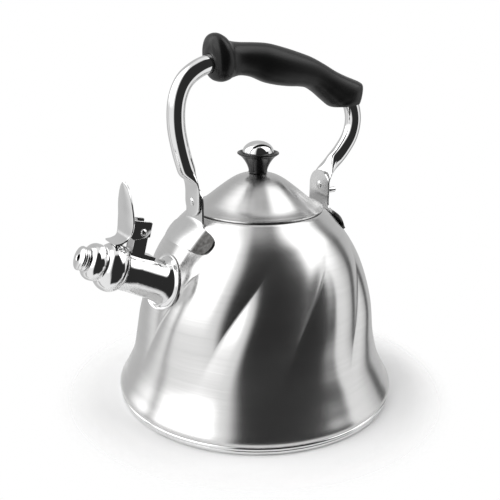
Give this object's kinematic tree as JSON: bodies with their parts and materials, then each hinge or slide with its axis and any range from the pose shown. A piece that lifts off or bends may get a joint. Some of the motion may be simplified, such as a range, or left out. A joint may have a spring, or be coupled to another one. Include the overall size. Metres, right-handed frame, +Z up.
{
  "type": "stovetop whistling kettle",
  "caption": "Stovetop kettle with a fluted bell body, lift-off lid, swinging top handle and a flip-up whistle on its spout.",
  "frame": {"origin": "centre of the flat underside, on the body's axis", "axes": "+Z up along the body's axis, -X towards the spout, X along the two handle pivots"},
  "size_m": [0.2578, 0.22, 0.2786],
  "materials": {
    "body_steel": "satin stainless steel, finely brushed around the body",
    "lid_steel": "satin stainless steel, finely brushed around the lid",
    "polished_steel": "mirror polished",
    "spring_steel": "drawn wire",
    "core_aluminium": "plain pressed aluminium",
    "grip_plastic": "black moulded plastic with a fine satin texture",
    "knob_plastic": "black moulded plastic, satin"
  },
  "bodies": {
    "kettle": {"body_shell": "body_steel", "base_floor": "body_steel", "base_core": "core_aluminium", "base_cap": "polished_steel", "spout_tube": "polished_steel", "spout_bracket": "polished_steel", "hinge_pin": "polished_steel", "hinge_spring": "spring_steel", "front_bracket": "polished_steel", "rear_bracket": "polished_steel", "front_rivet": "polished_steel", "rear_rivet": "polished_steel"},
    "handle": {"front_arm": "polished_steel", "rear_arm": "polished_steel", "handle_grip": "grip_plastic", "stop_stud": "polished_steel"},
    "lid": {"lid_shell": "lid_steel", "lid_skirt": "lid_steel", "lid_washer": "polished_steel", "knob_screw": "polished_steel", "knob_base": "knob_plastic", "knob_cap": "polished_steel"},
    "whistle": {"whistle_cap": "polished_steel", "whistle_tip": "polished_steel", "whistle_plate_rear": "polished_steel", "whistle_plate_front": "polished_steel", "whistle_lever": "polished_steel"}
  },
  "joints": [
    {"name": "handle_swing", "type": "hinge", "parent": "kettle", "child": "handle", "pos_m": [0, 0, 0.1608], "axis": [1, 0, 0], "range_deg": [-70, 70]},
    {"name": "lid_lift", "type": "slide", "parent": "kettle", "child": "lid", "axis": [0, 0, 1], "range_m": [0, 0.03]},
    {"name": "whistle_flip", "type": "hinge", "parent": "kettle", "child": "whistle", "pos_m": [-0.09907, 0, 0.14544], "axis": [0, 1, 0], "range_deg": [0, 50], "stiffness_Nm_per_rad": 0.03, "springref_deg": -34.38}
  ]
}
